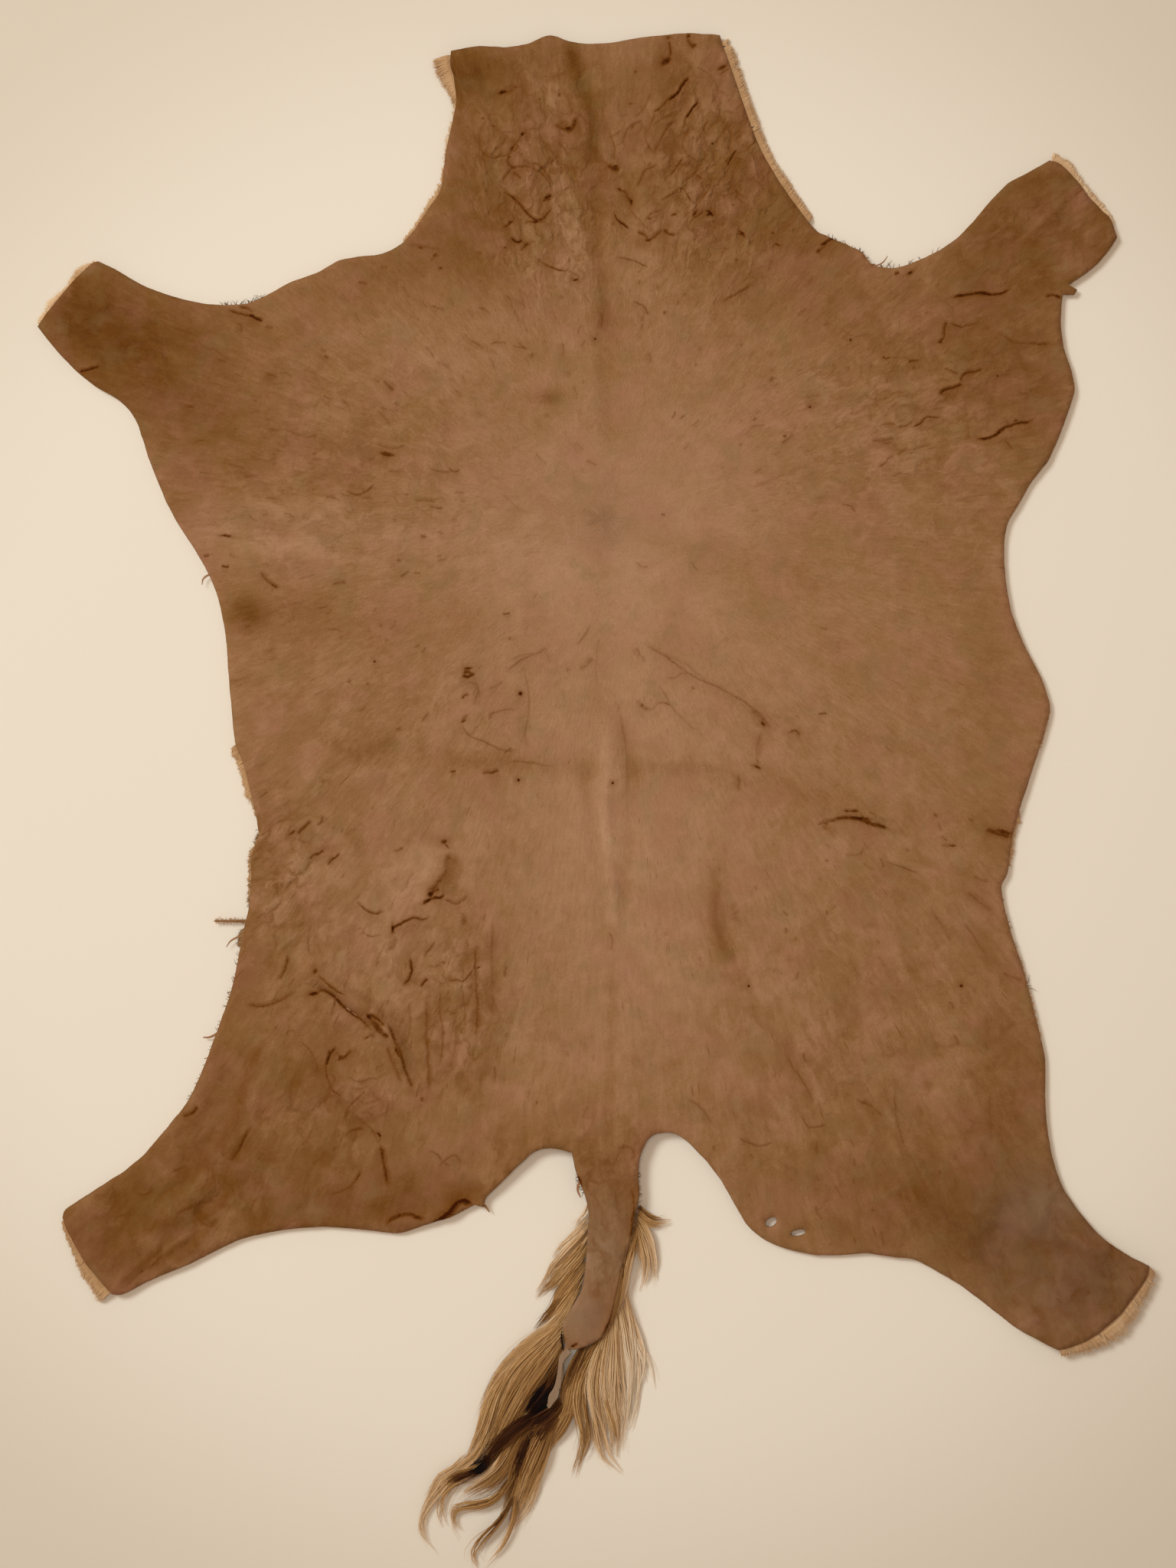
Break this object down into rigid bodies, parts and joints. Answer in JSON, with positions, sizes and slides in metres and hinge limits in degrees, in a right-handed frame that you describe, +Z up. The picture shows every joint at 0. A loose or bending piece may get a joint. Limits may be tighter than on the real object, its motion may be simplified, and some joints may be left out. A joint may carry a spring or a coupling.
{
  "type": "tanned antelope hide",
  "caption": "Whole tanned animal hide with its hair on, lying flat with the leather side up: open neck, spread legs and a haired tail.",
  "frame": {"origin": "on the surface the hide rests on, under the middle of the backbone", "axes": "+Y along the backbone to the neck, +X to the right of the hide as it lies, +Z up, away from the surface"},
  "size_m": [1.1613, 1.5703, 0.0173],
  "materials": {
    "tanned_skin": "matt suede flesh side",
    "short_hair": "short smooth hair",
    "long_hair": "long soft hair"
  },
  "bodies": {
    "root": {"skin": "tanned_skin", "coat": "short_hair", "tail_hair": "long_hair"}
  },
  "joints": []
}
